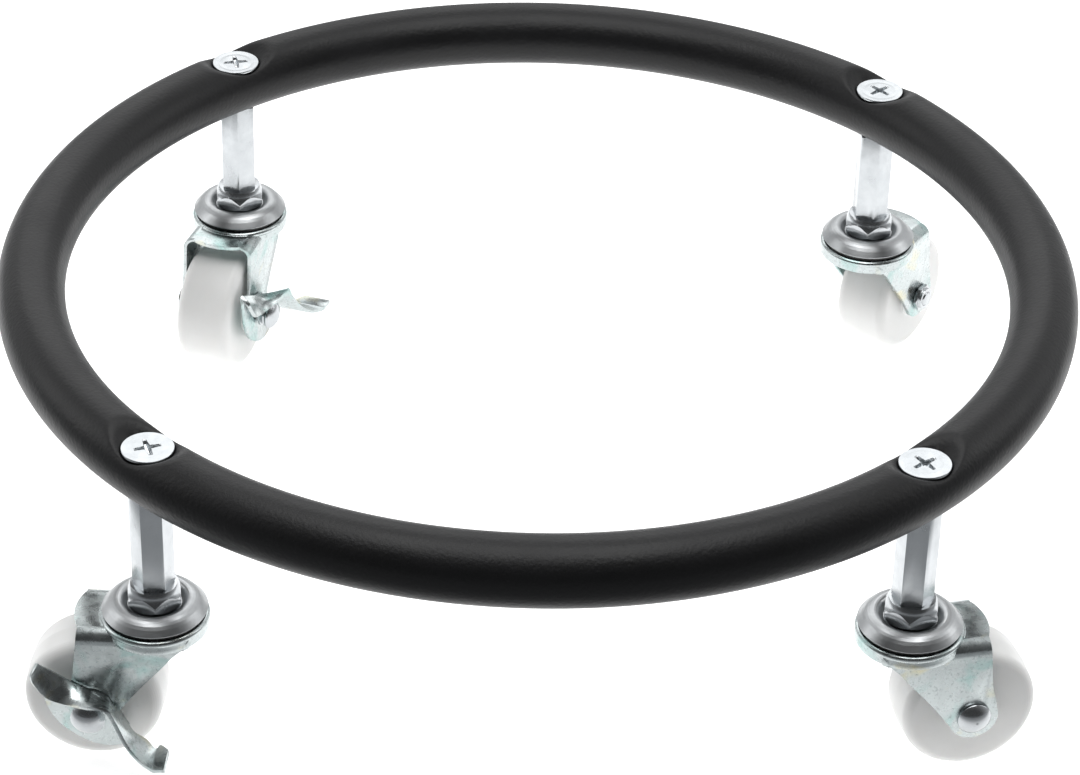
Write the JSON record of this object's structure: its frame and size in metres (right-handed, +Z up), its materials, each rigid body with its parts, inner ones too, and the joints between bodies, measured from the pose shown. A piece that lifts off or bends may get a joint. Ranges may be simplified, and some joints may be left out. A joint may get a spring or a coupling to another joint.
{
  "type": "drum dolly",
  "caption": "Round dolly: a powder-coated tube ring on long-stemmed swivel casters with plastic wheels, side brakes on its left casters; carries a drum or heavy pot.",
  "frame": {"origin": "on the floor under the centre of the ring", "axes": "+Z up along the ring's axis; -Y towards the front casters, -X towards the braked casters"},
  "size_m": [0.3999, 0.4, 0.1318],
  "materials": {
    "powder_coat": "satin black powder coat on steel tube",
    "zinc_plate": "bright zinc plate on turned and headed steel",
    "zinc_sheet": "bright zinc plate on pressed sheet steel, with a faint blue-green passivation",
    "bearing_steel": "polished and oiled steel",
    "white_plastic": "moulded white polypropylene, satin",
    "black_seal": "moulded black plastic"
  },
  "bodies": {
    "ring_frame": {"ring_tube": "powder_coat", "front_left_screw": "zinc_plate", "front_left_coupling_nut": "zinc_plate", "front_left_stem": "zinc_plate", "front_left_swivel_cap": "zinc_plate", "front_left_dust_ring": "black_seal", "front_left_swivel_balls": "bearing_steel", "front_left_thrust_washer": "zinc_plate", "front_right_screw": "zinc_plate", "front_right_coupling_nut": "zinc_plate", "front_right_stem": "zinc_plate", "front_right_swivel_cap": "zinc_plate", "front_right_dust_ring": "black_seal", "front_right_swivel_balls": "bearing_steel", "front_right_thrust_washer": "zinc_plate", "rear_left_screw": "zinc_plate", "rear_left_coupling_nut": "zinc_plate", "rear_left_stem": "zinc_plate", "rear_left_swivel_cap": "zinc_plate", "rear_left_dust_ring": "black_seal", "rear_left_swivel_balls": "bearing_steel", "rear_left_thrust_washer": "zinc_plate", "rear_right_screw": "zinc_plate", "rear_right_coupling_nut": "zinc_plate", "rear_right_stem": "zinc_plate", "rear_right_swivel_cap": "zinc_plate", "rear_right_dust_ring": "black_seal", "rear_right_swivel_balls": "bearing_steel", "rear_right_thrust_washer": "zinc_plate"},
    "front_left_swivel_fork": {"front_left_fork": "zinc_sheet", "front_left_axle_bolt": "zinc_plate", "front_left_axle_sleeve": "bearing_steel", "front_left_axle_nut": "zinc_plate", "front_left_brake_washer": "zinc_plate"},
    "front_left_rolling_wheel": {"front_left_wheel": "white_plastic"},
    "front_left_brake": {"front_left_brake_lever": "zinc_sheet"},
    "front_right_swivel_fork": {"front_right_fork": "zinc_sheet", "front_right_axle_bolt": "zinc_plate", "front_right_axle_sleeve": "bearing_steel", "front_right_axle_nut": "zinc_plate"},
    "front_right_rolling_wheel": {"front_right_wheel": "white_plastic"},
    "rear_left_swivel_fork": {"rear_left_fork": "zinc_sheet", "rear_left_axle_bolt": "zinc_plate", "rear_left_axle_sleeve": "bearing_steel", "rear_left_axle_nut": "zinc_plate", "rear_left_brake_washer": "zinc_plate"},
    "rear_left_rolling_wheel": {"rear_left_wheel": "white_plastic"},
    "rear_left_brake": {"rear_left_brake_lever": "zinc_sheet"},
    "rear_right_swivel_fork": {"rear_right_fork": "zinc_sheet", "rear_right_axle_bolt": "zinc_plate", "rear_right_axle_sleeve": "bearing_steel", "rear_right_axle_nut": "zinc_plate"},
    "rear_right_rolling_wheel": {"rear_right_wheel": "white_plastic"}
  },
  "joints": [
    {"name": "front_left_swivel", "type": "hinge", "parent": "ring_frame", "child": "front_left_swivel_fork", "pos_m": [-0.13142, -0.13373, 0.058], "axis": [0, 0, 1], "continuous": true},
    {"name": "front_left_roll", "type": "hinge", "parent": "front_left_swivel_fork", "child": "front_left_rolling_wheel", "pos_m": [-0.15319, -0.13259, 0.025], "axis": [-0.0523, -0.9986, 0], "continuous": true},
    {"name": "front_left_brake_tip", "type": "hinge", "parent": "front_left_swivel_fork", "child": "front_left_brake", "pos_m": [-0.15319, -0.13259, 0.025], "axis": [-0.0523, -0.9986, 0], "range_deg": [0, 25]},
    {"name": "front_right_swivel", "type": "hinge", "parent": "ring_frame", "child": "front_right_swivel_fork", "pos_m": [0.13373, -0.13142, 0.058], "axis": [0, 0, 1], "continuous": true},
    {"name": "front_right_roll", "type": "hinge", "parent": "front_right_swivel_fork", "child": "front_right_rolling_wheel", "pos_m": [0.15493, -0.12633, 0.025], "axis": [-0.2334, 0.9724, 0], "continuous": true},
    {"name": "rear_left_swivel", "type": "hinge", "parent": "ring_frame", "child": "rear_left_swivel_fork", "pos_m": [-0.12424, 0.14043, 0.058], "axis": [0, 0, 1], "continuous": true},
    {"name": "rear_left_roll", "type": "hinge", "parent": "rear_left_swivel_fork", "child": "rear_left_rolling_wheel", "pos_m": [-0.13043, 0.11953, 0.025], "axis": [0.9588, -0.284, 0], "continuous": true},
    {"name": "rear_left_brake_tip", "type": "hinge", "parent": "rear_left_swivel_fork", "child": "rear_left_brake", "pos_m": [-0.13043, 0.11953, 0.025], "axis": [0.9588, -0.284, 0], "range_deg": [-2, 23]},
    {"name": "rear_right_swivel", "type": "hinge", "parent": "ring_frame", "child": "rear_right_swivel_fork", "pos_m": [0.13488, 0.13025, 0.058], "axis": [0, 0, 1], "continuous": true},
    {"name": "rear_right_roll", "type": "hinge", "parent": "rear_right_swivel_fork", "child": "rear_right_rolling_wheel", "pos_m": [0.14738, 0.14811, 0.025], "axis": [-0.8192, 0.5736, 0], "continuous": true}
  ]
}
